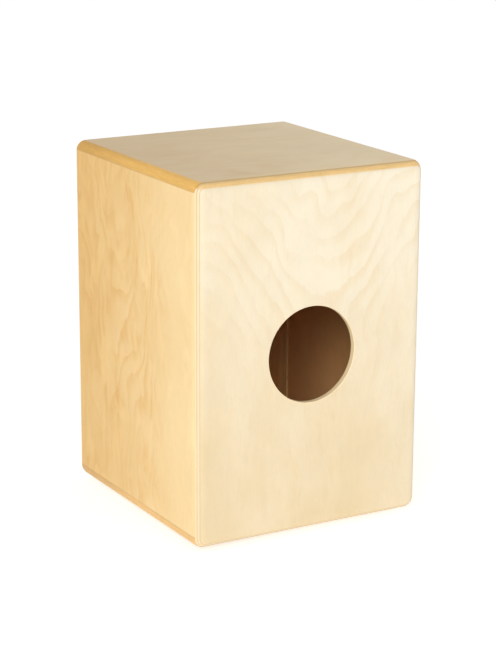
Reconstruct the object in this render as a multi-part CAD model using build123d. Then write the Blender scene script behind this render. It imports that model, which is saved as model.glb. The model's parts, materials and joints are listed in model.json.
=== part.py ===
from build123d import *
import os

# A small plywood cajon: a box drum that the player sits on, with a snare behind its front plate.
# Millimetres. X runs across the player, -Y is the face that is struck, +Z is up.
# The origin is on the floor, under the middle of the body.

# Body
BODY_WIDTH = 247.0
BODY_DEPTH = 258.0
BODY_HEIGHT = 350.0
EDGE_RADIUS = 10.5

# Panels
FRONT_THICKNESS = 3.0
REAR_THICKNESS = 6.0
SIDE_THICKNESS = 6.0
SEAT_THICKNESS = 9.0
BOTTOM_THICKNESS = 12.0

# Sound hole, centred in the rear panel
HOLE_RADIUS = 47.0
HOLE_EASING = 0.5

# Glued battens inside the box
STRIP_WIDTH = 15.5
STRIP_THICKNESS = 2.0
BATTEN_SIZE = 12.0

# Rubber feet and their screws
FOOT_HEIGHT = 5.0
FOOT_RADIUS = 10.0
FOOT_INSET = 40.0
FOOT_EASING = 1.2
FOOT_RECESS_RADIUS = 4.5
FOOT_RECESS_DEPTH = 2.5
FOOT_SCREW_RADIUS = 1.5
FOOT_SCREW_LENGTH = 12.0
FOOT_SCREW_HEAD_RADIUS = 3.5
FOOT_SCREW_HEAD_HEIGHT = 1.8
SCREW_CLEARANCE = 0.25

# Snare bar: a square lath with a round journal at each end
BAR_DROP = 15.0
BAR_SETBACK = 7.0
BAR_LENGTH = 119.4
BAR_HALF_HEIGHT = 4.5
BAR_FRONT = 4.3
BAR_REAR = 4.0
BAR_EASING = 0.6
JOURNAL_RADIUS = 4.0
JOURNAL_PLAY = 0.05

# Wooden holders that the snare bar turns in
HOLDER_WIDTH = 20.0
HOLDER_DEPTH = 24.0
HOLDER_HEIGHT = 26.0
HOLDER_GAP = 1.2
HOLDER_SIDE_PLAY = 0.3
HOLDER_EASING = 1.0
HOLDER_SCREW_RADIUS = 1.5
HOLDER_SCREW_HEAD_RADIUS = 3.0
HOLDER_SCREW_HEAD_HEIGHT = 1.6
HOLDER_SCREW_BITE = 6.0
HOLDER_SCREW_SPACING = 10.0
HOLDER_SCREW_SETBACK = 17.5

# Snare wires, their steel end plates and the screws that hold them to the bar
WIRE_RADIUS = 0.9
WIRE_LENGTH = 110.0
WIRE_COUNT = 10
WIRE_SPACING = 4.4
WIRE_TOP = 1.2
WIRE_SET_OFFSET = 29.5
PLATE_THICKNESS = 0.6
PLATE_WIDTH = 46.0
PLATE_TOP = 3.2
PLATE_BOTTOM = 4.2
PLATE_SCREW_RISE = 0.9
PLATE_SCREW_RADIUS = 1.0
PLATE_SCREW_LENGTH = 6.5
PLATE_SCREW_HEAD_RADIUS = 1.8
PLATE_SCREW_HEAD_HEIGHT = 1.0
PLATE_SCREW_OFFSETS = (-17.6, 0.0, 17.6)

# Cross slot in every screw head
SLOT_WIDTH_RATIO = 0.3
SLOT_LENGTH_RATIO = 1.2
SLOT_DEPTH_RATIO = 0.5

# Planes worked out from the sizes above
BODY_BOTTOM = FOOT_HEIGHT
BODY_TOP = FOOT_HEIGHT + BODY_HEIGHT
FRONT_FACE = -BODY_DEPTH / 2
FRONT_INNER = FRONT_FACE + FRONT_THICKNESS
REAR_FACE = BODY_DEPTH / 2
REAR_INNER = REAR_FACE - REAR_THICKNESS
SIDE_FACE = BODY_WIDTH / 2
SIDE_INNER = SIDE_FACE - SIDE_THICKNESS
SEAT_UNDERSIDE = BODY_TOP - SEAT_THICKNESS
BOTTOM_INNER = BODY_BOTTOM + BOTTOM_THICKNESS
BODY_MIDDLE = (BODY_BOTTOM + BODY_TOP) / 2
STRIP_END = FRONT_INNER + STRIP_WIDTH
BATTEN_INNER = SIDE_INNER - BATTEN_SIZE
REAR_BATTEN_START = REAR_INNER - BATTEN_SIZE
BAR_Y = FRONT_INNER + BAR_SETBACK
BAR_Z = SEAT_UNDERSIDE - BAR_DROP
HOLDER_INNER = BAR_LENGTH / 2 + HOLDER_SIDE_PLAY
HOLDER_MIDDLE = HOLDER_INNER + HOLDER_WIDTH / 2
HOLDER_UNDERSIDE = SEAT_UNDERSIDE - HOLDER_HEIGHT
PLATE_REAR = BAR_Y - BAR_FRONT
PLATE_FRONT = PLATE_REAR - PLATE_THICKNESS
PLATE_SCREW_Z = BAR_Z + PLATE_SCREW_RISE
HOLDER_SCREW_Y = FRONT_INNER + HOLDER_SCREW_SETBACK


def block(x_range, y_range, z_range):
    """A box between two values on each axis."""
    sizes = [high - low for low, high in (x_range, y_range, z_range)]
    middle = [(low + high) / 2 for low, high in (x_range, y_range, z_range)]
    return Pos(*middle) * Box(*sizes)


def mirrored(shape):
    """The same shape on the other side of the middle plane."""
    return mirror(shape, about=Plane.YZ)


def rod(radius, start, direction, length):
    """A round bar from a start point along a direction."""
    return extrude(Plane(start, z_dir=direction) * Circle(radius), amount=length)


def pan_head_screw(seat_point, direction, shank_radius, shank_length, head_radius, head_height):
    """A screw whose head bears at seat_point, with its shank along direction."""
    away = Vector(*direction) * -1
    plane = Plane(seat_point, z_dir=away)
    head = extrude(plane * Circle(head_radius), amount=head_height)
    crown = head.edges().filter_by(GeomType.CIRCLE).sort_by(Axis(plane.origin, away))[-1]
    head = fillet(crown, head_height * 0.45)
    slot_depth = head_height * SLOT_DEPTH_RATIO
    slot_length = head_radius * SLOT_LENGTH_RATIO
    slot_width = head_radius * SLOT_WIDTH_RATIO
    top = plane.offset(head_height)
    for length, width in ((slot_length, slot_width), (slot_width, slot_length)):
        head -= extrude(top * Rectangle(length, width), amount=-slot_depth)
    return head + rod(shank_radius, seat_point, direction, shank_length)


def body_envelope():
    """The whole body as one block with every outer edge rounded."""
    blank = block((-SIDE_FACE, SIDE_FACE), (FRONT_FACE, REAR_FACE), (BODY_BOTTOM, BODY_TOP))
    return fillet(blank.edges(), EDGE_RADIUS)


def foot_points():
    """Where the four feet stand, front left first."""
    x = SIDE_FACE - FOOT_INSET
    y = REAR_FACE - FOOT_INSET
    return {
        "front_left": (-x, -y),
        "front_right": (x, -y),
        "rear_left": (-x, y),
        "rear_right": (x, y),
    }


def foot_screw_shank(x, y):
    """The shank of one foot screw, from its head to its tip."""
    return rod(FOOT_SCREW_RADIUS, (x, y, FOOT_RECESS_DEPTH), (0, 0, 1), FOOT_SCREW_LENGTH)


def holder_screw_points():
    """The x positions of the screws in both holders."""
    half = HOLDER_SCREW_SPACING / 2
    right = [HOLDER_MIDDLE - half, HOLDER_MIDDLE + half]
    return [-x for x in right] + right


def holder_screw_shank(x, radius):
    """One holder screw's shank, from the holder's underside into the seat."""
    start = (x, HOLDER_SCREW_Y, HOLDER_UNDERSIDE)
    return rod(radius, start, (0, 0, 1), HOLDER_HEIGHT + HOLDER_SCREW_BITE)


def plate_screw_points(centre):
    """The x positions of the screws through one end plate."""
    return [centre + offset for offset in PLATE_SCREW_OFFSETS]


def seat_panel(envelope):
    seat = envelope & block((-SIDE_FACE, SIDE_FACE), (FRONT_INNER, REAR_INNER), (SEAT_UNDERSIDE, BODY_TOP))
    for x in holder_screw_points():
        seat -= holder_screw_shank(x, HOLDER_SCREW_RADIUS)
    return seat


def bottom_panel(envelope):
    bottom = envelope & block((-SIDE_FACE, SIDE_FACE), (FRONT_INNER, REAR_INNER), (BODY_BOTTOM, BOTTOM_INNER))
    for x, y in foot_points().values():
        bottom -= foot_screw_shank(x, y)
    return bottom


def side_panel(envelope):
    """The right-hand side panel, between seat and bottom."""
    return envelope & block((SIDE_INNER, SIDE_FACE), (FRONT_INNER, REAR_INNER), (BOTTOM_INNER, SEAT_UNDERSIDE))


def front_plate(envelope):
    """The thin plate that is struck, over the whole front."""
    return envelope & block((-SIDE_FACE, SIDE_FACE), (FRONT_FACE, FRONT_INNER), (BODY_BOTTOM, BODY_TOP))


def rear_panel(envelope):
    """The rear panel with its sound hole, whose rims are lightly eased."""
    panel = envelope & block((-SIDE_FACE, SIDE_FACE), (REAR_INNER, REAR_FACE), (BODY_BOTTOM, BODY_TOP))
    panel -= rod(HOLE_RADIUS, (0, REAR_INNER, BODY_MIDDLE), (0, 1, 0), REAR_THICKNESS)
    rims = panel.edges().filter_by(GeomType.CIRCLE).filter_by(lambda edge: edge.radius == HOLE_RADIUS)
    return fillet(rims, HOLE_EASING)


def front_strip():
    """A thin upright strip that backs the joint of the right side panel and the front plate."""
    return block((SIDE_INNER - STRIP_THICKNESS, SIDE_INNER), (FRONT_INNER, STRIP_END), (BOTTOM_INNER, SEAT_UNDERSIDE))


def rear_batten():
    """An upright batten in the corner of the right side panel and the rear panel."""
    return block((BATTEN_INNER, SIDE_INNER), (REAR_BATTEN_START, REAR_INNER), (BOTTOM_INNER, SEAT_UNDERSIDE))


def long_batten(z_range):
    """A batten along the right side panel, under the seat or on the bottom."""
    return block((BATTEN_INNER, SIDE_INNER), (STRIP_END, REAR_BATTEN_START), z_range)


def foot(x, y):
    """A rubber foot with a recess for its screw's head."""
    body = rod(FOOT_RADIUS, (x, y, 0), (0, 0, 1), FOOT_HEIGHT)
    body = fillet(body.edges().filter_by(GeomType.CIRCLE).sort_by(Axis.Z)[0], FOOT_EASING)
    body -= rod(FOOT_RECESS_RADIUS, (x, y, 0), (0, 0, 1), FOOT_RECESS_DEPTH)
    return body - rod(FOOT_SCREW_RADIUS + SCREW_CLEARANCE, (x, y, 0), (0, 0, 1), FOOT_HEIGHT)


def foot_screw(x, y):
    return pan_head_screw(
        (x, y, FOOT_RECESS_DEPTH), (0, 0, 1), FOOT_SCREW_RADIUS, FOOT_SCREW_LENGTH,
        FOOT_SCREW_HEAD_RADIUS, FOOT_SCREW_HEAD_HEIGHT)


def snare_holder():
    """The right-hand wooden holder, with the bore that the bar's journal turns in."""
    y_range = (FRONT_INNER + HOLDER_GAP, FRONT_INNER + HOLDER_GAP + HOLDER_DEPTH)
    x_range = (HOLDER_INNER, HOLDER_INNER + HOLDER_WIDTH)
    holder = block(x_range, y_range, (HOLDER_UNDERSIDE, SEAT_UNDERSIDE))
    low_edges = holder.edges().filter_by(Axis.X).group_by(Axis.Z)[0]
    holder = chamfer(low_edges, HOLDER_EASING)
    bore_start = (HOLDER_INNER - HOLDER_SIDE_PLAY, BAR_Y, BAR_Z)
    holder -= rod(JOURNAL_RADIUS + JOURNAL_PLAY, bore_start, (1, 0, 0), HOLDER_WIDTH * 2)
    for x in holder_screw_points():
        holder -= holder_screw_shank(x, HOLDER_SCREW_RADIUS)
    return holder


def holder_screw(x):
    return pan_head_screw(
        (x, HOLDER_SCREW_Y, HOLDER_UNDERSIDE), (0, 0, 1), HOLDER_SCREW_RADIUS,
        HOLDER_HEIGHT + HOLDER_SCREW_BITE, HOLDER_SCREW_HEAD_RADIUS, HOLDER_SCREW_HEAD_HEIGHT)


def plate_screw(x):
    """A small screw through an end plate, in the front of the snare bar."""
    return pan_head_screw(
        (x, PLATE_FRONT, PLATE_SCREW_Z), (0, 1, 0), PLATE_SCREW_RADIUS, PLATE_SCREW_LENGTH,
        PLATE_SCREW_HEAD_RADIUS, PLATE_SCREW_HEAD_HEIGHT)


def plate_screw_hole(x):
    """The room that one plate screw's shank takes in the plate and the bar."""
    return rod(PLATE_SCREW_RADIUS, (x, PLATE_FRONT, PLATE_SCREW_Z), (0, 1, 0), PLATE_SCREW_LENGTH)


def snare_bar():
    """The square lath that carries the wires, with a round journal at each end."""
    half = BAR_LENGTH / 2
    z_range = (BAR_Z - BAR_HALF_HEIGHT, BAR_Z + BAR_HALF_HEIGHT)
    bar = block((-half, half), (BAR_Y - BAR_FRONT, BAR_Y + BAR_REAR), z_range)
    bar = fillet(bar.edges().filter_by(Axis.X), BAR_EASING)
    journal_end = HOLDER_INNER + HOLDER_WIDTH
    bar += rod(JOURNAL_RADIUS, (-journal_end, BAR_Y, BAR_Z), (1, 0, 0), 2 * journal_end)
    for centre in (-WIRE_SET_OFFSET, WIRE_SET_OFFSET):
        for x in plate_screw_points(centre):
            bar -= plate_screw_hole(x)
    return bar


def end_plate(centre):
    """The steel plate that one set of wires is soldered to."""
    half = PLATE_WIDTH / 2
    z_range = (BAR_Z - PLATE_BOTTOM, BAR_Z + PLATE_TOP)
    plate = block((centre - half, centre + half), (PLATE_FRONT, PLATE_REAR), z_range)
    for x in plate_screw_points(centre):
        plate -= plate_screw_hole(x)
    return plate


def wire_set(centre):
    """One set of upright snare wires, each as a plain round rod."""
    first = centre - WIRE_SPACING * (WIRE_COUNT - 1) / 2
    top = BAR_Z - WIRE_TOP
    wire_y = PLATE_FRONT - WIRE_RADIUS
    starts = [(first + index * WIRE_SPACING, wire_y, top) for index in range(WIRE_COUNT)]
    return Compound(children=[rod(WIRE_RADIUS, start, (0, 0, -1), WIRE_LENGTH) for start in starts])


def build_nodes():
    envelope = body_envelope()
    side = side_panel(envelope)
    strip = front_strip()
    upright = rear_batten()
    seat_batten = long_batten((SEAT_UNDERSIDE - BATTEN_SIZE, SEAT_UNDERSIDE))
    bottom_batten = long_batten((BOTTOM_INNER, BOTTOM_INNER + BATTEN_SIZE))
    holder = snare_holder()
    nodes = {
        "seat_panel": seat_panel(envelope),
        "bottom_panel": bottom_panel(envelope),
        "front_plate": front_plate(envelope),
        "rear_panel": rear_panel(envelope),
        "snare_bar": snare_bar(),
    }
    pairs = {
        "side_panel": side,
        "front_strip": strip,
        "rear_batten": upright,
        "seat_batten": seat_batten,
        "bottom_batten": bottom_batten,
        "snare_holder": holder,
    }
    for name, right in pairs.items():
        nodes[f"{name}_right"] = right
        nodes[f"{name}_left"] = mirrored(right)
    for name, (x, y) in foot_points().items():
        nodes[f"foot_{name}"] = foot(x, y)
    for side_name, centre in (("left", -WIRE_SET_OFFSET), ("right", WIRE_SET_OFFSET)):
        nodes[f"snare_end_plate_{side_name}"] = end_plate(centre)
        nodes[f"snare_wires_{side_name}"] = wire_set(centre)
    centres = plate_screw_points(-WIRE_SET_OFFSET) + plate_screw_points(WIRE_SET_OFFSET)
    nodes["foot_screws"] = Compound(children=[foot_screw(x, y) for x, y in foot_points().values()])
    nodes["holder_screws"] = Compound(children=[holder_screw(x) for x in holder_screw_points()])
    nodes["snare_plate_screws"] = Compound(children=[plate_screw(x) for x in centres])
    return nodes


os.makedirs("parts", exist_ok=True)
for node_name, node_shape in build_nodes().items():
    export_step(node_shape, f"parts/{node_name}.step")
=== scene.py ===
import json
import math
from dataclasses import dataclass

import bpy
from mathutils import Matrix, Vector


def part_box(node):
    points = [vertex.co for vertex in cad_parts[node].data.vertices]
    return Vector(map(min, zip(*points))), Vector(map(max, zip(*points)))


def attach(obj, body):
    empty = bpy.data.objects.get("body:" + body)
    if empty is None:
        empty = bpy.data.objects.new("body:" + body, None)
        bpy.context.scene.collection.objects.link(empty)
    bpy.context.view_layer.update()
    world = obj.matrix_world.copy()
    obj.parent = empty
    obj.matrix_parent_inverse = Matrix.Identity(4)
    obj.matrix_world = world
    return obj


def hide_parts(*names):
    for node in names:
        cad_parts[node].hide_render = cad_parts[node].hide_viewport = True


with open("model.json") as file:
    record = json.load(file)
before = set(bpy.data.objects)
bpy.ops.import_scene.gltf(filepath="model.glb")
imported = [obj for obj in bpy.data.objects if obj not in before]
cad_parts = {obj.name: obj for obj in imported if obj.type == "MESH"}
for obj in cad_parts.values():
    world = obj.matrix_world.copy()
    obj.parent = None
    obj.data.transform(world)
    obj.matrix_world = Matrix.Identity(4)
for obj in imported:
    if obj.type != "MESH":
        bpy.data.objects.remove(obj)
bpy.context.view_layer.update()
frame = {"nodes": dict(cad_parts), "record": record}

MM = 0.001
AXES = {"X": 0, "Y": 1, "Z": 2}


# ---------------------------------------------------------------- colours

def srgb(red, green, blue):
    """A display colour, 0 to 255, as the linear colour that shaders take."""
    def linear(value):
        share = value / 255
        return share / 12.92 if share <= 0.04045 else ((share + 0.055) / 1.055) ** 2.4
    return (linear(red), linear(green), linear(blue), 1.0)


def scaled(colour, share):
    """A linear colour made darker or lighter."""
    return tuple(channel * share for channel in colour[:3]) + (1.0,)


# The woods' colours, linear; the rear's, the front's, the sides' and the inside's also carry painted light,
# as said beside them. AMBER and EDGE_AT_FRONT are tints, which multiply another colour.
# Painted light: the rear is paler at its top and deeper at its foot, partly its veneer's tone and partly
# painted light that falls more on the top.
REAR_TOP = (0.810, 0.735, 0.580, 1.0)
REAR_FOOT = (0.708, 0.560, 0.336, 1.0)
# The front takes the rear's paler top and deeper foot, so it carries the same painted light.
FRONT_TOP = (0.815, 0.695, 0.500, 1.0)
FRONT_FOOT = (0.725, 0.555, 0.330, 1.0)
# Painted light: the sides are paler at the rear, where the light is stronger, and deeper toward the front,
# where it falls off, partly their tone and partly painted falloff; they are also a little paler toward the
# bottom as painted floor bounce.
SIDE_AT_REAR = (0.86, 0.648, 0.335, 1.0)
SIDE_AT_FRONT = (0.68, 0.416, 0.124, 1.0)
SEAT_AT_RIGHT = (0.706, 0.521, 0.287, 1.0)
SEAT_AT_LEFT = (0.866, 0.700, 0.438, 1.0)
SEAT_EDGE = (0.83, 0.485, 0.122, 1.0)
REAR_EDGE = (0.80, 0.545, 0.240, 1.0)
BOTTOM_EDGE = (0.78, 0.500, 0.195, 1.0)
EDGE_AT_FRONT = (0.78, 0.74, 0.68, 1.0)
AMBER = (0.93, 0.76, 0.50, 1.0)
# Painted light: the inner faces are given a brighter, redder colour than their bare birch, standing in for
# light bounced round inside the box.
INSIDE = (0.88, 0.500, 0.208, 1.0)
INSIDE_FRONT = (0.71, 0.385, 0.140, 1.0)
PLY_SIDE = (0.80, 0.640, 0.410, 1.0)
RAW_BIRCH = (0.99, 0.790, 0.480, 1.0)
STRIP_WOOD = (0.99, 0.690, 0.320, 1.0)
PINE = (0.74, 0.520, 0.260, 1.0)
BEECH = (0.62, 0.375, 0.190, 1.0)

ZINC = srgb(196, 196, 192)
SHEET_STEEL = srgb(186, 188, 190)
WIRE_STEEL = srgb(205, 205, 206)
SOLDER = srgb(176, 176, 178)


# ---------------------------------------------------------------- measures taken from the frame

def span(node, axis):
    """A node's lowest and highest place on an axis."""
    low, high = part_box(node)
    return low[AXES[axis]], high[AXES[axis]]


FRONT_OUT, FRONT_IN = span("front_plate", "Y")
REAR_IN, REAR_OUT = span("rear_panel", "Y")
SEAT_UNDER, SEAT_TOP = span("seat_panel", "Z")
BOTTOM_UNDER, BOTTOM_IN = span("bottom_panel", "Z")
LEFT_OUT, LEFT_IN = span("side_panel_left", "X")
RIGHT_IN, RIGHT_OUT = span("side_panel_right", "X")
BODY_MIDDLE = Vector((0, 0, (BOTTOM_UNDER + SEAT_TOP) / 2))

HOLE = next(mount for mount in frame["record"]["mounts"] if mount["name"] == "sound_hole")
HOLE_CENTRE = tuple(HOLE["pos_m"])
HOLE_RADIUS = HOLE["dims"]["r_mm"] * MM


# ---------------------------------------------------------------- shader graph

# Noise lies mostly between these two.
NOISE_LOW = 0.25
NOISE_HIGH = 0.75
# How far a seed moves the noise along X, Y and Z.
SEED_SHIFT = (1.0, 1.7, 0.6)


class Graph:
    """A material's node tree, with one short method for each kind of node that is used."""

    def __init__(self, name):
        self.material = bpy.data.materials.new(name)
        self.material.use_nodes = True
        self.tree = self.material.node_tree
        self.shader = self.tree.nodes["Principled BSDF"]
        place = self.tree.nodes.new("ShaderNodeTexCoord")
        self.position = place.outputs["Object"]
        self.normal = place.outputs["Normal"]

    def put(self, socket, value):
        """Links a socket to an output, or gives it a number, vector or colour."""
        if isinstance(value, bpy.types.NodeSocket):
            self.tree.links.new(value, socket)
        else:
            socket.default_value = value

    def math(self, operation, *values):
        node = self.tree.nodes.new("ShaderNodeMath")
        node.operation = operation
        for socket, value in zip(node.inputs, values):
            self.put(socket, value)
        return node.outputs[0]

    def smooth(self, value, low, high):
        """0 below low and 1 above high, or the other way round, with a soft step between."""
        node = self.tree.nodes.new("ShaderNodeMapRange")
        node.interpolation_type = "SMOOTHSTEP"
        self.put(node.inputs["Value"], value)
        falling = low > high
        node.inputs["From Min"].default_value = min(low, high)
        node.inputs["From Max"].default_value = max(low, high)
        node.inputs["To Min"].default_value = 1.0 if falling else 0.0
        node.inputs["To Max"].default_value = 0.0 if falling else 1.0
        return node.outputs[0]

    def ramp(self, value, low, high):
        """Spreads noise, which lies round a half, over low to high."""
        node = self.tree.nodes.new("ShaderNodeMapRange")
        self.put(node.inputs["Value"], value)
        node.inputs["From Min"].default_value = NOISE_LOW
        node.inputs["From Max"].default_value = NOISE_HIGH
        node.inputs["To Min"].default_value = low
        node.inputs["To Max"].default_value = high
        return node.outputs[0]

    def swing(self, value, size):
        """Spreads noise evenly round 0."""
        return self.ramp(value, -size, size)

    def split(self, vector):
        node = self.tree.nodes.new("ShaderNodeSeparateXYZ")
        self.put(node.inputs[0], vector)
        return node.outputs

    def mix(self, share, first, second, kind="MIX"):
        node = self.tree.nodes.new("ShaderNodeMixRGB")
        node.blend_type = kind
        self.put(node.inputs["Fac"], share)
        self.put(node.inputs["Color1"], first)
        self.put(node.inputs["Color2"], second)
        return node.outputs[0]

    def tint(self, colour, by):
        """One colour multiplied by another."""
        return self.mix(1.0, colour, by, "MULTIPLY")

    def grey(self, value):
        """A number as a grey colour."""
        node = self.tree.nodes.new("ShaderNodeCombineXYZ")
        for socket in node.inputs:
            self.put(socket, value)
        return node.outputs[0]

    def vector(self, operation, *values):
        node = self.tree.nodes.new("ShaderNodeVectorMath")
        node.operation = operation
        for socket, value in zip(node.inputs, values):
            self.put(socket, value)
        return node.outputs[0]

    def noise_node(self, grain, waves, seed, place, detail, roughness):
        """Noise that follows the grain. waves is its fineness per metre, across the grain and along it."""
        across, along = waves
        scale = [across] * 3
        scale[AXES[grain]] = along
        stretched = self.tree.nodes.new("ShaderNodeMapping")
        self.put(stretched.inputs["Vector"], place or self.position)
        stretched.inputs["Scale"].default_value = scale
        stretched.inputs["Location"].default_value = [seed * share for share in SEED_SHIFT]
        node = self.tree.nodes.new("ShaderNodeTexNoise")
        self.put(node.inputs["Vector"], stretched.outputs[0])
        node.inputs["Scale"].default_value = 1.0
        node.inputs["Detail"].default_value = detail
        node.inputs["Roughness"].default_value = roughness
        return node

    def noise(self, grain, waves, seed, place=None, detail=2.0, roughness=0.5):
        return self.noise_node(grain, waves, seed, place, detail, roughness).outputs[0]

    def warped(self, grain, waves, reach, seed, place=None):
        """A place pushed about by soft noise, by up to about a quarter of reach in metres."""
        noise = self.noise_node(grain, waves, seed, place, 2.0, 0.5)
        push = self.vector("SUBTRACT", noise.outputs["Color"], (0.5, 0.5, 0.5))
        push = self.vector("MULTIPLY", push, (reach, reach, reach))
        return self.vector("ADD", push, place or self.position)

    def bump(self, height, distance):
        node = self.tree.nodes.new("ShaderNodeBump")
        node.inputs["Distance"].default_value = distance
        self.put(node.inputs["Height"], height)
        self.put(self.shader.inputs["Normal"], node.outputs[0])

    def surface(self, colour, roughness, specular=0.5, metallic=0.0):
        self.put(self.shader.inputs["Base Color"], colour)
        self.put(self.shader.inputs["Roughness"], roughness)
        self.shader.inputs["Specular IOR Level"].default_value = specular
        self.shader.inputs["Metallic"].default_value = metallic
        return self.material


# ---------------------------------------------------------------- birch: what a panel is made of

@dataclass(frozen=True)
class Arches:
    """A flat-sawn figure of nested arches, in metres and in rings per metre.

    It fades out away from its middle, and below fade_low on the grain's axis.
    """
    centre: float
    foot: float
    along_rate: float
    across_rate: float
    drift: float
    tip: float
    fade_low: float
    fade_high: float
    reach: float
    sway: float = 0.040
    ripple: float = 0.004


@dataclass(frozen=True)
class Tone:
    """A face's colour, from one to another along a main axis and, less, along a second one.

    main and side are each an axis, its first place and its last place.
    """
    main: tuple
    side: tuple
    side_share: float
    start: tuple
    end: tuple
    ragged: float = 0.16


@dataclass(frozen=True)
class Figure:
    """How strongly a veneer shows each part of its figure."""
    rings: float = 1.0
    line_amber: float = 0.22
    flames: float = 0.12
    streaks: float = 1.0
    clouds: float = 1.0
    patches: float = 0.0


@dataclass(frozen=True)
class Panel:
    """One plywood panel. stack is the axis through its plies, from the outer to the inner plane.

    The end grain takes over across edge_span, which is the part of the surface normal that lies along the
    grain. glue is how dark the glue line under the face veneer is, and how dark the others are. layer_share
    is how much darker every second ply is. ply_side is the colour of the outer ply's side, where rounding
    bares it. hole is a centre and a radius.
    """
    grain: str
    across: str
    stack: str
    outer: float
    inner: float
    plies: int
    tone: Tone
    edge: tuple
    edge_span: tuple
    joints: tuple
    seed: float
    arches: Arches
    figure: Figure = Figure()
    inside: tuple = INSIDE
    layer_share: float = 0.12
    glue: tuple = (0.5, 0.15)
    ply_side: tuple = None
    hole: tuple = None


# ---------------------------------------------------------------- birch: growth rings and figure

# The fineness of each noise per metre, across the grain and along it.
SWAY = (14.0, 9.0)
RIPPLE = (90.0, 55.0)
RING_DRIFT = (13.0, 6.0)
RING_FADING = (24.0, 16.0)
STREAKS = (420.0, 7.0)
FIBRES = (1700.0, 45.0)
CLOUDS = (34.0, 26.0)
PORES = (2600.0, 150.0)
PATCHES = (34.0, 17.0)
FLAMES = (120.0, 20.0)
FLAME_FIELDS = (20.0, 9.0)
TONE_EDGES = (14.0, 9.0)
SHEEN = (120.0, 25.0)

# A ring's late wood darkens over the first span of the ring and ends within the second.
LATE_WOOD = (0.35, 0.90)
LATE_WOOD_END = (1.0, 0.92)
# How softly the arches turn into stripes at their foot, in rings.
FOOT_BEND = 2.0
# The share of the figure that is left away from the arches.
FAINTEST = 0.15
# Where the arches reach their full strength, as a share of their reach.
FULL_STRENGTH = 0.4
# Soft noise spreads the lines' strength between these two. Below 0 they are gone.
RING_FADE = (-0.35, 1.25)

# Where each noise begins to show and where it is full.
PORE_SPAN = (0.64, 0.74)
PATCH_SPAN = (0.55, 0.68)
FLAME_SPAN = (0.46, 0.72)
FIELD_SPAN = (0.38, 0.62)
STREAK_SPAN = (0.50, 0.72)

# How much each part of the figure changes the brightness.
BASE_LIGHT = 1.01
LINE_LIGHT = -0.022
RING_LIGHT = -0.014
STREAK_LIGHT = 0.018
CLOUD_LIGHT = 0.018
FIBRE_LIGHT = 0.020
PATCH_LIGHT = 0.030
PORE_LIGHT = -0.05
# How much streaks and patches change the amber share, beside flames and lines.
STREAK_AMBER = 0.4
PATCH_AMBER = -0.35


def growth_rings(graph, place, panel):
    """Late-wood lines: nested arches that straighten into stripes, disturbed by noise."""
    arches = panel.arches
    parts = graph.split(place)
    height = graph.math("SUBTRACT", parts[AXES[panel.grain]], arches.foot)
    rise = graph.math("SMOOTH_MAX", graph.math("MULTIPLY", height, arches.along_rate), 0.0, FOOT_BEND)
    offset = graph.math("SUBTRACT", parts[AXES[panel.across]], arches.centre)
    bow = graph.math("SQRT", graph.math("MULTIPLY_ADD", offset, offset, arches.tip ** 2))
    count = graph.math("SUBTRACT", rise, graph.math("MULTIPLY", bow, arches.across_rate))
    drift = graph.noise(panel.grain, RING_DRIFT, panel.seed + 2, place)
    ring = graph.math("FRACT", graph.math("MULTIPLY_ADD", drift, arches.drift, count))
    line = graph.math("MULTIPLY", graph.smooth(ring, *LATE_WOOD), graph.smooth(ring, *LATE_WOOD_END))
    risen = graph.smooth(parts[AXES[panel.grain]], arches.fade_low, arches.fade_high)
    middle = graph.smooth(bow, arches.reach, FULL_STRENGTH * arches.reach)
    shown = graph.math("MULTIPLY_ADD", graph.math("MULTIPLY", risen, middle), 1 - FAINTEST, FAINTEST)
    return graph.math("MULTIPLY", line, shown), graph.math("MULTIPLY", ring, shown), middle


def figure_light(graph, panel, place, line, ring, streak, fibre, patch):
    """The figure's brightness, near 1."""
    cloud = graph.noise(panel.grain, CLOUDS, panel.seed + 7, place, detail=4.0, roughness=0.6)
    pores = graph.smooth(graph.noise(panel.grain, PORES, panel.seed + 13, detail=1.0), *PORE_SPAN)
    changes = (
        graph.math("MULTIPLY", line, LINE_LIGHT * panel.figure.rings),
        graph.math("MULTIPLY", ring, RING_LIGHT * panel.figure.rings),
        graph.swing(streak, STREAK_LIGHT * panel.figure.streaks),
        graph.swing(cloud, CLOUD_LIGHT * panel.figure.clouds),
        graph.swing(fibre, FIBRE_LIGHT),
        graph.math("MULTIPLY", patch, PATCH_LIGHT * panel.figure.patches),
        graph.math("MULTIPLY", pores, PORE_LIGHT),
    )
    light = BASE_LIGHT
    for change in changes:
        light = graph.math("ADD", light, change)
    return light


def figure_amber(graph, panel, place, line, middle, streak, patch):
    """The share of amber in the lacquered wood, 0 to 1: in late wood, in flames and in streaks."""
    figure = panel.figure
    flames = graph.noise(panel.grain, FLAMES, panel.seed + 15, place, detail=4.0, roughness=0.65)
    field = graph.smooth(graph.noise(panel.grain, FLAME_FIELDS, panel.seed + 19), *FIELD_SPAN)
    flame = graph.math("MULTIPLY", graph.smooth(flames, *FLAME_SPAN), graph.math("MULTIPLY", field, middle))
    amber = graph.math("MULTIPLY_ADD", flame, figure.flames, graph.math("MULTIPLY", line, figure.line_amber))
    streaky = graph.smooth(streak, *STREAK_SPAN)
    amber = graph.math("MULTIPLY_ADD", streaky, STREAK_AMBER * figure.flames, amber)
    amber = graph.math("MULTIPLY_ADD", patch, PATCH_AMBER * figure.patches, amber)
    return graph.math("MINIMUM", graph.math("MAXIMUM", amber, 0.0), 1.0)


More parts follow.
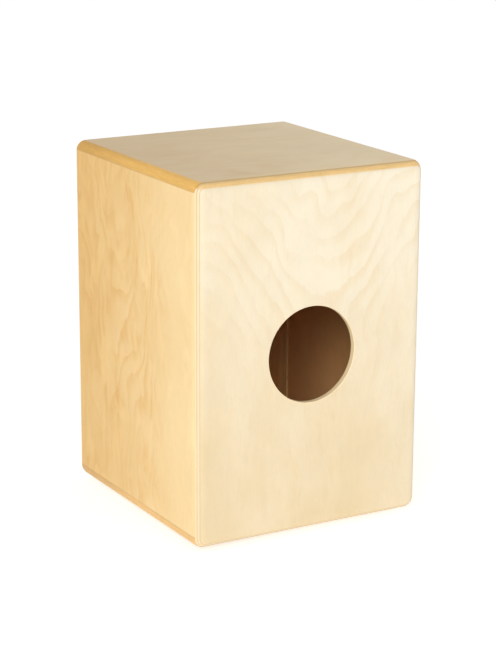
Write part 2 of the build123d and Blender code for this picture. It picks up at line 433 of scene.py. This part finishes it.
def birch_figure(graph, panel):
    """Rotary-cut birch, as a brightness near 1, an amber share and the fibres that the bump follows.

    Each noise has its own offset to the panel's seed.
    """
    grain, seed = panel.grain, panel.seed
    place = graph.warped(grain, SWAY, panel.arches.sway, seed)
    place = graph.warped(grain, RIPPLE, panel.arches.ripple, seed + 1, place)
    line, ring, middle = growth_rings(graph, place, panel)
    fade = graph.ramp(graph.noise(grain, RING_FADING, seed + 5), *RING_FADE)
    line = graph.math("MULTIPLY", line, graph.math("MAXIMUM", fade, 0.0))
    streak = graph.noise(grain, STREAKS, seed + 9, place, detail=3.0, roughness=0.6)
    fibre = graph.noise(grain, FIBRES, seed + 11, place)
    patch = graph.smooth(graph.noise(grain, PATCHES, seed + 17, place, detail=3.0), *PATCH_SPAN)
    light = figure_light(graph, panel, place, line, ring, streak, fibre, patch)
    return light, figure_amber(graph, panel, place, line, middle, streak, patch), fibre


# ---------------------------------------------------------------- birch: edges, plies and joints

# The fineness of the end grain's noises per metre, along the edge and through the plies.
END_STREAKS = (55.0, 520.0)
END_PITTING = (260.0, 700.0)
END_STREAK_LIGHT = (0.90, 1.08)
END_PITTING_LIGHT = (0.97, 1.03)
# Where the edge takes its deeper colour, as a share of the way from the rear to the front.
EDGE_DEEPENS = (0.35, 1.05)

# From a glue line's middle to where it has faded out.
GLUE_LINE = 0.26 * MM
# In plies: from the outer face to past its first glue line, and from either face to before its first one.
FIRST_LINE = (1.6, 1.4)
SKIN = (0.4, 0.6)
# How the glue lines' strength changes on end grain.
GLUE_ON_END = -0.8

# The size of a normal's part along an axis, from where the surface stops facing along that axis.
OFF_JOINT = (0.97, 0.90)
OFF_FACE = (0.92, 0.70)
# The normal's Z part where an edge starts to face down, and how its share of end grain changes there.
DOWNWARD = (-0.02, -0.10)
DOWNWARD_END_GRAIN = -0.40
# Painted shade: edges that face down toward the floor are darkened as if in shadow, from where the normal's
# Z part starts to where it is full, and by this share.
PAINTED_UNDERSIDE_SHADE_SPAN = (-0.62, -0.90)
PAINTED_UNDERSIDE_SHADE_SHARE = 0.22

# Where a face's colour starts and stops changing, as a share of its run.
TONE_SPAN = (-0.15, 1.15)
# The colours of glue lines, of joints with the painted shade beside them and of the underside's painted
# shade, as shares of the edge's colour.
GLUE_SHADE = 0.45
SEAM_SHADE = 0.35
PAINTED_UNDERSIDE_SHADE_LEVEL = 0.15
# How far from the inner face and from the hole's wall their own colours begin, and where they are full.
INSIDE_FROM = 0.15 * MM
INSIDE_FULL = 0.05 * MM
HOLE_FROM = 0.6 * MM
HOLE_FULL = 0.2 * MM

LACQUER_ROUGHNESS = (0.40, 0.52)
END_ROUGHER = 0.10
LACQUER_SPECULAR = 0.35
FIBRE_BUMP = 0.012 * MM


def seam_and_shade_share(graph, parts, normals, joints):
    """How dark the joints make the wood, with painted shade beside them where a joint's band is wide."""
    share = 0.0
    for axis, place, half_width, strength in joints:
        gap = graph.math("ABSOLUTE", graph.math("SUBTRACT", parts[AXES[axis]], place))
        line = graph.math("MULTIPLY", graph.smooth(gap, half_width, 0.0), strength)
        beside = graph.smooth(graph.math("ABSOLUTE", normals[AXES[axis]]), *OFF_JOINT)
        share = graph.math("MAXIMUM", share, graph.math("MULTIPLY", line, beside))
    return share


def run_along(graph, parts, axis, start, end):
    """0 at one place on an axis and 1 at another."""
    return graph.math("DIVIDE", graph.math("SUBTRACT", parts[AXES[axis]], start), end - start)


def face_tone(graph, parts, panel):
    """The lacquered face's colour, which changes mostly along one axis, with a ragged middle. On the rear,
    the front and the sides the change is partly painted light.
    """
    tone = panel.tone
    main = graph.math("MULTIPLY", run_along(graph, parts, *tone.main), 1 - tone.side_share)
    side = graph.math("MULTIPLY", run_along(graph, parts, *tone.side), tone.side_share)
    run = graph.math("ADD", main, side)
    noise = graph.noise(panel.grain, TONE_EDGES, panel.seed + 20, detail=4.0)
    ragged = graph.math("ADD", run, graph.swing(noise, tone.ragged))
    return graph.mix(graph.smooth(ragged, *TONE_SPAN), tone.start, tone.end)


def veneer(graph, parts, normals, panel, amber):
    """The face veneer's colour, with the outer ply's own side where a rounded edge cuts through it."""
    wood = face_tone(graph, parts, panel)
    wood = graph.mix(amber, wood, graph.tint(wood, AMBER))
    if panel.ply_side:
        off_face = graph.smooth(graph.math("ABSOLUTE", normals[AXES[panel.stack]]), *OFF_FACE)
        wood = graph.mix(off_face, wood, panel.ply_side)
    return wood


def ply_layers(graph, depth, panel):
    """The share of dark glue line, and 1 in every second ply."""
    ply = abs(panel.outer - panel.inner) / panel.plies
    first_glue, other_glue = panel.glue
    layer = graph.math("DIVIDE", depth, ply)
    phase = graph.math("ABSOLUTE", graph.math("SUBTRACT", graph.math("FRACT", layer), 0.5))
    line = graph.smooth(phase, 0.5 - GLUE_LINE / ply, 0.5)
    first = graph.smooth(layer, *FIRST_LINE)
    strength = graph.math("MULTIPLY_ADD", first, first_glue - other_glue, other_glue)
    outer_skin = graph.smooth(layer, *SKIN)
    inner_skin = graph.smooth(layer, panel.plies - SKIN[0], panel.plies - SKIN[1])
    within = graph.math("MULTIPLY", outer_skin, inner_skin)
    glue = graph.math("MULTIPLY", graph.math("MULTIPLY", line, within), strength)
    return glue, graph.math("FLOOR", graph.math("MODULO", layer, 2.0))


def end_grain(graph, parts, panel):
    """The plies' end grain: streaks that run along the edge, and a deeper colour toward the front."""
    seed = panel.seed + 30
    streaks = graph.noise(panel.stack, END_STREAKS, seed, detail=4.0, roughness=0.6)
    pitting = graph.noise(panel.stack, END_PITTING, seed + 1, detail=3.0)
    light = graph.math(
        "MULTIPLY", graph.ramp(streaks, *END_STREAK_LIGHT), graph.ramp(pitting, *END_PITTING_LIGHT))
    wood = graph.tint(panel.edge, graph.grey(light))
    front_share = graph.smooth(run_along(graph, parts, "Y", REAR_OUT, FRONT_OUT), *EDGE_DEEPENS)
    return graph.mix(front_share, wood, graph.tint(wood, EDGE_AT_FRONT))


def end_grain_share(graph, normals, panel):
    """1 where the surface is turned to the end of the grain, and less where it faces down."""
    toward_end = graph.math("ABSOLUTE", normals[AXES[panel.grain]])
    downward = graph.math("MULTIPLY", graph.smooth(normals[AXES["Z"]], *DOWNWARD), DOWNWARD_END_GRAIN)
    toward_end = graph.math("MULTIPLY", toward_end, graph.math("ADD", downward, 1.0))
    return graph.smooth(toward_end, *panel.edge_span)


def hole_share(graph, centre, radius):
    """1 on the wall of a round hole along Y."""
    reach = graph.vector("SUBTRACT", graph.position, centre)
    flat = graph.split(graph.vector("MULTIPLY", reach, reach))
    distance = graph.math("SQRT", graph.math("ADD", flat[AXES["X"]], flat[AXES["Z"]]))
    return graph.smooth(distance, radius + HOLE_FROM, radius + HOLE_FULL)


def lay_plies(graph, depth, panel, end_share, wood):
    """The wood with its glue lines and its darker plies."""
    glue_line, cross_ply = ply_layers(graph, depth, panel)
    wood = graph.mix(graph.math("MULTIPLY", cross_ply, panel.layer_share), wood, graph.tint(wood, AMBER))
    strength = graph.math("MULTIPLY_ADD", end_share, GLUE_ON_END, 1.0)
    return graph.mix(graph.math("MULTIPLY", glue_line, strength), wood, scaled(panel.edge, GLUE_SHADE))


def plywood(name, panel):
    """Lacquered birch plywood, bare on its inner face and in its hole."""
    graph = Graph(name)
    parts = graph.split(graph.position)
    normals = graph.split(graph.normal)
    depth = graph.math("ABSOLUTE", graph.math("SUBTRACT", parts[AXES[panel.stack]], panel.outer))
    light, amber, fibre = birch_figure(graph, panel)
    end_share = end_grain_share(graph, normals, panel)
    seams_and_shade = seam_and_shade_share(graph, parts, normals, panel.joints)

    wood = veneer(graph, parts, normals, panel, amber)
    wood = graph.mix(end_share, wood, end_grain(graph, parts, panel))
    wood = lay_plies(graph, depth, panel, end_share, wood)
    if panel.hole:
        in_hole = hole_share(graph, *panel.hole)
        wood = graph.mix(in_hole, wood, RAW_BIRCH)
        on_edge = graph.math("MULTIPLY", end_share, graph.math("SUBTRACT", 1.0, in_hole))
        seams_and_shade = graph.math("MULTIPLY", seams_and_shade, on_edge)
    thickness = abs(panel.outer - panel.inner)
    is_inside = graph.smooth(depth, thickness - INSIDE_FROM, thickness - INSIDE_FULL)
    wood = graph.mix(is_inside, wood, panel.inside)
    wood = graph.tint(wood, graph.grey(light))
    # Dark joint lines, with painted shade beside the joints where their bands are wide.
    wood = graph.mix(seams_and_shade, wood, scaled(panel.edge, SEAM_SHADE))
    # Painted shade: edges that face the floor are darkened as if the box's own shadow lay on them.
    painted_underside_shade = graph.math("MULTIPLY", graph.smooth(normals[AXES["Z"]], *PAINTED_UNDERSIDE_SHADE_SPAN), PAINTED_UNDERSIDE_SHADE_SHARE)
    wood = graph.mix(painted_underside_shade, wood, scaled(panel.edge, PAINTED_UNDERSIDE_SHADE_LEVEL))

    sheen = graph.noise(panel.grain, SHEEN, panel.seed + 40, detail=3.0)
    roughness = graph.math("MULTIPLY_ADD", end_share, END_ROUGHER, graph.ramp(sheen, *LACQUER_ROUGHNESS))
    graph.bump(fibre, FIBRE_BUMP)
    return graph.surface(wood, roughness, specular=LACQUER_SPECULAR)


# ---------------------------------------------------------------- planed wood

# The fineness of each noise per metre, across the grain and along it.
PLANED_RINGS = (90.0, 4.0)
PLANED_FIBRES = (1500.0, 40.0)
DASHES = (1400.0, 260.0)

RINGS_IN_NOISE = 9.0
RING_SPAN = (0.1, 0.95)
DASH_SPAN = (0.62, 0.70)
PLANED_RING_LIGHT = -0.13
PLANED_FIBRE_LIGHT = 0.05
PLANED_END_SPAN = (0.4, 0.8)
PLANED_END_SHADE = 0.72
PLANED_BUMP = 0.03 * MM
PLANED_ROUGHNESS = (0.55, 0.68)
BEECH_FLECK = 0.16


def planed_wood(name, colour, grain, seed, fleck=0.0):
    """Bare planed solid wood for strips, battens, holders and the snare bar. fleck is for beech's dashes."""
    graph = Graph(name)
    field = graph.noise(grain, PLANED_RINGS, seed)
    ring = graph.smooth(graph.math("FRACT", graph.math("MULTIPLY", field, RINGS_IN_NOISE)), *RING_SPAN)
    fibre = graph.noise(grain, PLANED_FIBRES, seed + 2)
    dashes = graph.smooth(graph.noise(grain, DASHES, seed + 4, detail=1.0), *DASH_SPAN)
    rings = graph.math("MULTIPLY_ADD", ring, PLANED_RING_LIGHT, 1.0)
    light = graph.math("ADD", rings, graph.swing(fibre, PLANED_FIBRE_LIGHT))
    light = graph.math("MULTIPLY_ADD", dashes, -fleck, light)
    normals = graph.split(graph.normal)
    end_share = graph.smooth(graph.math("ABSOLUTE", normals[AXES[grain]]), *PLANED_END_SPAN)
    wood = graph.mix(end_share, colour, scaled(colour, PLANED_END_SHADE))
    graph.bump(fibre, PLANED_BUMP)
    return graph.surface(
        graph.tint(wood, graph.grey(light)), graph.ramp(fibre, *PLANED_ROUGHNESS), specular=0.3)


# ---------------------------------------------------------------- metal and rubber

# The fineness of each noise per metre, across its own axis and along it.
STEEL_MARKS = (2400.0, 120.0)
STEEL_CLOUDS = (300.0, 300.0)
RUBBER_GRAIN = (2200.0, 2200.0)
RUBBER_DUST = (160.0, 160.0)

CLOUDED_SHARE = (0.0, 0.35)
CLOUDED_SHADE = 0.78
STEEL_BUMP = 0.006 * MM
DUST_SHARE = (0.0, 0.6)
RUBBER_DARK = srgb(26, 26, 27)
RUBBER_DUSTY = srgb(44, 43, 42)
RUBBER_BUMP = 0.05 * MM
RUBBER_ROUGHNESS = (0.62, 0.82)


def steel(name, colour, roughness, grain, scratch=0.08):
    """Plated or drawn steel with fine marks along one axis."""
    graph = Graph(name)
    marks = graph.noise(grain, STEEL_MARKS, seed=4.0, detail=3.0)
    cloud = graph.noise(grain, STEEL_CLOUDS, seed=9.0)
    metal = graph.mix(graph.ramp(cloud, *CLOUDED_SHARE), colour, scaled(colour, CLOUDED_SHADE))
    graph.bump(marks, STEEL_BUMP)
    return graph.surface(metal, graph.ramp(marks, roughness - scratch, roughness + scratch), metallic=1.0)


def rubber(name):
    """Matt black moulded rubber with a fine grain."""
    graph = Graph(name)
    grain = graph.noise("Z", RUBBER_GRAIN, seed=2.0, detail=3.0)
    dust = graph.noise("Z", RUBBER_DUST, seed=6.0, detail=3.0)
    colour = graph.mix(graph.ramp(dust, *DUST_SHARE), RUBBER_DARK, RUBBER_DUSTY)
    graph.bump(grain, RUBBER_BUMP)
    return graph.surface(colour, graph.ramp(dust, *RUBBER_ROUGHNESS), specular=0.4)


# ---------------------------------------------------------------- the panels

# Each joint is an axis, a place on it, a half width and a strength. The narrow ones are dark joint lines.
# The seat's 5.5 mm band under its edge and the bottom's 2 mm band are painted shade between the parts, and
# the rear's 2 mm band is partly a dark joint and partly painted shade.
REAR_JOINTS_AND_SHADE = (("Y", REAR_IN, 2.0 * MM, 0.42),)
SEAT_JOINTS_AND_SHADE = (
    ("Y", FRONT_IN, 1.6 * MM, 0.55), ("Y", REAR_IN, 1.6 * MM, 0.55),
    ("Z", SEAT_UNDER, 5.5 * MM, 0.24), ("Z", SEAT_UNDER, 0.6 * MM, 0.50))
BOTTOM_JOINTS_AND_SHADE = (
    ("Y", FRONT_IN, 0.5 * MM, 0.40), ("Y", REAR_IN, 0.5 * MM, 0.40),
    ("Z", BOTTOM_IN, 2.0 * MM, 0.12), ("Z", BOTTOM_IN, 0.6 * MM, 0.40))
SIDE_JOINTS = (
    ("Y", FRONT_IN, 0.4 * MM, 0.30), ("Y", REAR_IN, 0.4 * MM, 0.15),
    ("Z", SEAT_UNDER, 0.5 * MM, 0.40), ("Z", BOTTOM_IN, 0.5 * MM, 0.40))

REAR_FIGURE = Figure(rings=0.62, line_amber=0.28, flames=0.20, streaks=1.1, clouds=1.6)
SEAT_FIGURE = Figure(rings=0.3, streaks=0.9, clouds=1.2)
SIDE_FIGURE = Figure(rings=0.8, line_amber=0.56, flames=0.70, streaks=1.3, clouds=1.1, patches=1.2)

REAR_ARCHES = Arches(
    centre=-0.018, foot=0.20, along_rate=44.0, across_rate=50.0, drift=5.0, tip=0.022,
    fade_low=0.12, fade_high=0.27, reach=0.20, ripple=0.0055)
FRONT_ARCHES = Arches(
    centre=0.03, foot=0.12, along_rate=22.0, across_rate=40.0, drift=6.0, tip=0.020,
    fade_low=0.02, fade_high=0.12, reach=0.20)
SEAT_ARCHES = Arches(
    centre=0.04, foot=0.3, along_rate=10.0, across_rate=30.0, drift=6.0, tip=0.012,
    fade_low=-0.2, fade_high=-0.1, reach=0.20)
BOTTOM_ARCHES = Arches(
    centre=-0.03, foot=0.0, along_rate=20.0, across_rate=40.0, drift=6.0, tip=0.012,
    fade_low=-0.2, fade_high=-0.1, reach=0.20)
SIDE_ARCHES = Arches(
    centre=-0.05, foot=0.16, along_rate=20.0, across_rate=70.0, drift=9.0, tip=0.012,
    fade_low=-0.1, fade_high=0.1, reach=0.145, sway=0.050, ripple=0.006)

DOWN_THE_BODY = ("Z", SEAT_TOP, BOTTOM_UNDER)
LEFT_TO_RIGHT = ("X", LEFT_OUT, RIGHT_OUT)
# Painted light on the rear and the front: paler at the top, where more light falls, and deeper toward the
# foot.
REAR_TONE_AND_LIGHT = Tone(DOWN_THE_BODY, LEFT_TO_RIGHT, side_share=0.3, start=REAR_TOP, end=REAR_FOOT, ragged=0.26)
FRONT_TONE_AND_LIGHT = Tone(DOWN_THE_BODY, LEFT_TO_RIGHT, side_share=0.3, start=FRONT_TOP, end=FRONT_FOOT, ragged=0.26)
LEVEL_TONE = Tone(
    ("X", RIGHT_OUT, LEFT_OUT), ("Y", FRONT_OUT, REAR_OUT),
    side_share=0.2, start=SEAT_AT_RIGHT, end=SEAT_AT_LEFT)
# Painted light on the sides: paler at the rear and toward the bottom, deeper toward the front, partly tone
# and partly painted falloff and floor bounce.
SIDE_TONE_AND_LIGHT = Tone(
    ("Y", REAR_OUT, FRONT_OUT), ("Z", BOTTOM_UNDER, SEAT_TOP),
    side_share=0.12, start=SIDE_AT_REAR, end=SIDE_AT_FRONT)


def paint(node, material):
    """Gives a CAD node its material, through its object's own slot."""
    for slot in frame["nodes"][node].material_slots:
        slot.material = material


def paint_upright_panels():
    """The rear panel with its hole, and the struck front plate."""
    paint("rear_panel", plywood("rear_birch", Panel(
        grain="Z", across="X", stack="Y", outer=REAR_OUT, inner=REAR_IN, plies=3, tone=REAR_TONE_AND_LIGHT,
        edge=REAR_EDGE, edge_span=(0.40, 0.55), joints=REAR_JOINTS_AND_SHADE, seed=2.3, arches=REAR_ARCHES,
        figure=REAR_FIGURE, glue=(0.60, 0.95), ply_side=PLY_SIDE, hole=(HOLE_CENTRE, HOLE_RADIUS))))
    paint("front_plate", plywood("front_birch", Panel(
        grain="Z", across="X", stack="Y", outer=FRONT_OUT, inner=FRONT_IN, plies=3, tone=FRONT_TONE_AND_LIGHT,
        edge=REAR_EDGE, edge_span=(0.40, 0.55), joints=(), seed=8.1, arches=FRONT_ARCHES,
        inside=INSIDE_FRONT, ply_side=PLY_SIDE)))


def paint_level_panels():
    """The seat and the bottom."""
    paint("seat_panel", plywood("seat_birch", Panel(
        grain="X", across="Y", stack="Z", outer=SEAT_TOP, inner=SEAT_UNDER, plies=7, tone=LEVEL_TONE,
        edge=SEAT_EDGE, edge_span=(0.12, 0.36), joints=SEAT_JOINTS_AND_SHADE, seed=5.2, arches=SEAT_ARCHES,
        figure=SEAT_FIGURE, layer_share=0.04, glue=(0.20, 0.05))))
    paint("bottom_panel", plywood("bottom_birch", Panel(
        grain="X", across="Y", stack="Z", outer=BOTTOM_UNDER, inner=BOTTOM_IN, plies=9, tone=LEVEL_TONE,
        edge=BOTTOM_EDGE, edge_span=(0.24, 0.40), joints=BOTTOM_JOINTS_AND_SHADE, seed=11.7, arches=BOTTOM_ARCHES)))


def paint_side_panels():
    """The two side panels, which differ only in their seed."""
    for side, outer, inner, seed in (("right", RIGHT_OUT, RIGHT_IN, 3.9), ("left", LEFT_OUT, LEFT_IN, 14.6)):
        paint(f"side_panel_{side}", plywood(f"side_birch_{side}", Panel(
            grain="Z", across="Y", stack="X", outer=outer, inner=inner, plies=3, tone=SIDE_TONE_AND_LIGHT,
            edge=REAR_EDGE, edge_span=(0.50, 0.62), joints=SIDE_JOINTS, seed=seed, arches=SIDE_ARCHES,
            figure=SIDE_FIGURE)))


def paint_inner_parts():
    """Strips, battens, holders, the snare's own parts, screws and feet."""
    strip = planed_wood("strip_wood", STRIP_WOOD, "Z", seed=9.5)
    batten = planed_wood("upright_batten_wood", PINE, "Z", seed=1.5)
    long_batten = planed_wood("long_batten_wood", PINE, "Y", seed=6.5)
    beech_across = planed_wood("beech_across", BEECH, "X", seed=3.5, fleck=BEECH_FLECK)
    screw_steel = steel("zinc_screws", ZINC, roughness=0.34, grain="Z")
    for side in ("left", "right"):
        paint(f"front_strip_{side}", strip)
        paint(f"rear_batten_{side}", batten)
        paint(f"seat_batten_{side}", long_batten)
        paint(f"bottom_batten_{side}", long_batten)
        paint(f"snare_holder_{side}", beech_across)
        plate_steel = steel(f"snare_plate_{side}", SHEET_STEEL, roughness=0.30, grain="X")
        paint(f"snare_end_plate_{side}", plate_steel)
    paint("snare_bar", beech_across)
    for node in ("foot_screws", "holder_screws", "snare_plate_screws"):
        paint(node, screw_steel)
    foot_rubber = rubber("black_rubber")
    for place in ("front_left", "front_right", "rear_left", "rear_right"):
        paint(f"foot_{place}", foot_rubber)


# ---------------------------------------------------------------- snare wires

WIRE_COUNT = 10
COIL_WIRE_RADIUS = 0.17 * MM
COIL_PITCH = 0.85 * MM
COIL_STEPS = 9
COIL_SIDES = 5
STRAIGHT_TOP = 4.0 * MM
# No wire runs along this direction, so it can turn every cross-section of a tube the same way.
TUBE_REFERENCE = Vector((0, 0.2, 1))


def coil_points(x, y, top, bottom, radius):
    """The centreline of one wire: a straight soldered end, then a close helix down to its tip."""
    turns = (top - STRAIGHT_TOP - bottom) / COIL_PITCH
    count = int(turns * COIL_STEPS)
    points = [Vector((x + radius, y, top)), Vector((x + radius, y, top - STRAIGHT_TOP))]
    for step in range(1, count + 1):
        angle = 2 * math.pi * step / COIL_STEPS
        z = top - STRAIGHT_TOP - COIL_PITCH * step / COIL_STEPS
        points.append(Vector((x + radius * math.cos(angle), y + radius * math.sin(angle), z)))
    return points


def tube(points, radius, sides, vertices, faces):
    """Adds a closed round tube along points to the vertex and face lists."""
    first = len(vertices)
    last_index = len(points) - 1
    for index, point in enumerate(points):
        ahead = points[min(index + 1, last_index)] - points[max(index - 1, 0)]
        ahead.normalize()
        side = ahead.cross(TUBE_REFERENCE).normalized()
        other = ahead.cross(side)
        for turn in range(sides):
            angle = 2 * math.pi * turn / sides
            vertices.append(point + (side * math.cos(angle) + other * math.sin(angle)) * radius)
    for index in range(last_index):
        ring = first + index * sides
        for turn in range(sides):
            after = (turn + 1) % sides
            faces.append((ring + turn, ring + after, ring + sides + after, ring + sides + turn))
    faces.append(tuple(first + turn for turn in reversed(range(sides))))
    end = first + last_index * sides
    faces.append(tuple(end + turn for turn in range(sides)))


def new_piece(name, vertices, faces, material, body):
    """A smooth mesh piece that rides on a body."""
    mesh = bpy.data.meshes.new(name)
    mesh.from_pydata([tuple(vertex) for vertex in vertices], [], faces)
    mesh.materials.append(material)
    for face in mesh.polygons:
        face.use_smooth = True
    piece = bpy.data.objects.new(name, mesh)
    bpy.context.scene.collection.objects.link(piece)
    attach(piece, body)
    return piece


def snare_coils(side, material):
    """Ten coiled wires in the room of one set of plain rods."""
    low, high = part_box(f"snare_wires_{side}")
    rod_radius = (high.y - low.y) / 2
    spacing = (high.x - low.x - 2 * rod_radius) / (WIRE_COUNT - 1)
    vertices, faces = [], []
    for index in range(WIRE_COUNT):
        x = low.x + rod_radius + spacing * index
        y = (low.y + high.y) / 2
        points = coil_points(x, y, high.z, low.z, rod_radius - COIL_WIRE_RADIUS)
        tube(points, COIL_WIRE_RADIUS, COIL_SIDES, vertices, faces)
    piece = new_piece(f"snare_coils_{side}", vertices, faces, material, "snare")
    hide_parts(f"snare_wires_{side}")


SOLDER_RINGS = 64
SOLDER_SIDES = 10
SOLDER_OVERHANG = 1.2 * MM
SOLDER_DROP = 1.7 * MM
SOLDER_HALF_HEIGHT = 1.35 * MM
SOLDER_BULGE = 1.15 * MM
SOLDER_TAPER_RATE = 6
SOLDER_THINNEST = 0.05
BIG_LUMP, BIG_LUMP_RATE = 0.12, 61
SMALL_LUMP, SMALL_LUMP_RATE = 0.07, 143


def solder_size(share):
    """The bead's size at a share of its length: lumpy, near 1, and tapered at both ends."""
    taper = min(1.0, SOLDER_TAPER_RATE * share, SOLDER_TAPER_RATE * (1 - share)) ** 0.5
    big = BIG_LUMP * math.sin(share * BIG_LUMP_RATE)
    small = SMALL_LUMP * math.sin(share * SMALL_LUMP_RATE + 1)
    return (1 + big + small) * max(taper, SOLDER_THINNEST)


def solder_bead(side, material):
    """The lumpy solder strip that joins one set of wires to its end plate."""
    low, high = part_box(f"snare_wires_{side}")
    plate_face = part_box(f"snare_end_plate_{side}")[0].y
    start, end = low.x - SOLDER_OVERHANG, high.x + SOLDER_OVERHANG
    middle_z = high.z - SOLDER_DROP
    vertices, faces = [], []
    for ring in range(SOLDER_RINGS + 1):
        share = ring / SOLDER_RINGS
        x = start + (end - start) * share
        half_height = SOLDER_HALF_HEIGHT * solder_size(share)
        bulge = SOLDER_BULGE * solder_size(share)
        for turn in range(SOLDER_SIDES):
            angle = math.pi * turn / (SOLDER_SIDES - 1)
            vertices.append(Vector((
                x, plate_face - bulge * math.sin(angle), middle_z + half_height * math.cos(angle))))
    for ring in range(SOLDER_RINGS):
        for turn in range(SOLDER_SIDES):
            after = (turn + 1) % SOLDER_SIDES
            here, there = ring * SOLDER_SIDES, (ring + 1) * SOLDER_SIDES
            faces.append((here + turn, there + turn, there + after, here + after))
    faces.append(tuple(range(SOLDER_SIDES)))
    faces.append(tuple(SOLDER_RINGS * SOLDER_SIDES + turn for turn in reversed(range(SOLDER_SIDES))))
    new_piece(f"snare_solder_{side}", vertices, faces, material, "snare")


def build_snare():
    """Coils and solder for both sets of wires."""
    wire_steel = steel("drawn_wire", WIRE_STEEL, roughness=0.26, grain="Z", scratch=0.05)
    solder = steel("solder", SOLDER, roughness=0.42, grain="X", scratch=0.10)
    for side in ("left", "right"):
        snare_coils(side, wire_steel)
        solder_bead(side, solder)


# ---------------------------------------------------------------- camera, floor and light

# The view of the rear panel, the +X side and the seat, as seen from behind.
CAMERA_AZIMUTH = math.radians(150.15)
CAMERA_ELEVATION = math.radians(15.45)
CAMERA_ROLL = math.radians(0.28)
CAMERA_DISTANCE = 2.068
CAMERA_LENS = 112.85
CAMERA_SENSOR = 36.0
CAMERA_CLIP = (0.05, 50.0)
AIM_RIGHT = 0.0038
AIM_UP = -0.0090

HORIZON_LIGHT = 1.0
OVERHEAD_LIGHT = 0.40
KEY_AZIMUTH = math.radians(36.0)
KEY_ELEVATION = math.radians(25.0)
KEY_DISTANCE = 4.4
KEY_SIZE = 1.5
KEY_POWER = 77.0
KEY_COLOUR = (1.0, 0.985, 0.96)
FLOOR_HALF = 12.0
FLOOR_GLOW = 0.56
FLOOR_ROUGHNESS = 0.9
FLOOR_CLOUDS = (1.2, 1.2)
FLOOR_LIGHT = (0.70, 0.70, 0.70, 1.0)
FLOOR_DARK = (0.69, 0.69, 0.69, 1.0)


def add_camera():
    """A long lens behind and to the right of the box, a little above it."""
    flat = math.cos(CAMERA_ELEVATION)
    back = Vector((
        math.sin(CAMERA_AZIMUTH) * flat, -math.cos(CAMERA_AZIMUTH) * flat, math.sin(CAMERA_ELEVATION)))
    right = (-back).cross(Vector((0, 0, 1))).normalized()
    up = right.cross(-back)
    target = BODY_MIDDLE + right * AIM_RIGHT + up * AIM_UP
    rolled_right = right * math.cos(CAMERA_ROLL) + up * math.sin(CAMERA_ROLL)
    rolled_up = up * math.cos(CAMERA_ROLL) - right * math.sin(CAMERA_ROLL)
    data = bpy.data.cameras.new("camera")
    data.sensor_width = CAMERA_SENSOR
    data.lens = CAMERA_LENS
    data.clip_start, data.clip_end = CAMERA_CLIP
    camera = bpy.data.objects.new("camera", data)
    turn = Matrix((rolled_right, rolled_up, back)).transposed().to_4x4()
    camera.matrix_world = Matrix.Translation(target + back * CAMERA_DISTANCE) @ turn
    bpy.context.scene.collection.objects.link(camera)
    bpy.context.scene.camera = camera


def add_key_light():
    """One large soft light behind the camera, a little higher and further round to the box's right."""
    flat = math.cos(KEY_ELEVATION)
    toward = Vector((
        math.sin(KEY_AZIMUTH) * flat, math.cos(KEY_AZIMUTH) * flat, math.sin(KEY_ELEVATION)))
    data = bpy.data.lights.new("key", "AREA")
    data.shape = "RECTANGLE"
    data.size, data.size_y = KEY_SIZE, KEY_SIZE
    data.energy = KEY_POWER
    data.color = KEY_COLOUR
    light = bpy.data.objects.new("key", data)
    light.location = BODY_MIDDLE + toward * KEY_DISTANCE
    light.rotation_mode = "QUATERNION"
    light.rotation_quaternion = (-toward).to_track_quat("-Z", "Y")
    bpy.context.scene.collection.objects.link(light)


def add_sky():
    """A white studio all round, bright at the horizon and dimmer overhead."""
    world = bpy.data.worlds.new("studio")
    world.use_nodes = True
    tree = world.node_tree
    direction = tree.nodes.new("ShaderNodeTexCoord")
    split = tree.nodes.new("ShaderNodeSeparateXYZ")
    ramp = tree.nodes.new("ShaderNodeMapRange")
    ramp.inputs["To Min"].default_value = HORIZON_LIGHT
    ramp.inputs["To Max"].default_value = OVERHEAD_LIGHT
    tree.links.new(direction.outputs["Generated"], split.inputs[0])
    tree.links.new(split.outputs["Z"], ramp.inputs["Value"])
    background = tree.nodes["Background"]
    background.inputs["Color"].default_value = (1.0, 1.0, 1.0, 1.0)
    tree.links.new(ramp.outputs[0], background.inputs["Strength"])
    bpy.context.scene.world = world


def add_floor():
    """A wide pale floor that glows slightly, so that the ground is white."""
    mesh = bpy.data.meshes.new("floor")
    corners = [(-FLOOR_HALF, -FLOOR_HALF, 0), (FLOOR_HALF, -FLOOR_HALF, 0),
               (FLOOR_HALF, FLOOR_HALF, 0), (-FLOOR_HALF, FLOOR_HALF, 0)]
    mesh.from_pydata(corners, [], [(0, 1, 2, 3)])
    floor = bpy.data.objects.new("floor", mesh)
    graph = Graph("floor_paint")
    cloud = graph.noise("Z", FLOOR_CLOUDS, seed=3.0)
    colour = graph.mix(graph.ramp(cloud, 0.0, 1.0), FLOOR_LIGHT, FLOOR_DARK)
    graph.shader.inputs["Emission Color"].default_value = (1.0, 1.0, 1.0, 1.0)
    graph.shader.inputs["Emission Strength"].default_value = FLOOR_GLOW
    mesh.materials.append(graph.surface(colour, FLOOR_ROUGHNESS, specular=0.1))
    bpy.context.scene.collection.objects.link(floor)


add_camera()
add_sky()
add_key_light()
add_floor()
paint_upright_panels()
paint_level_panels()
paint_side_panels()
paint_inner_parts()
build_snare()
bpy.context.scene.view_settings.view_transform = "Standard"
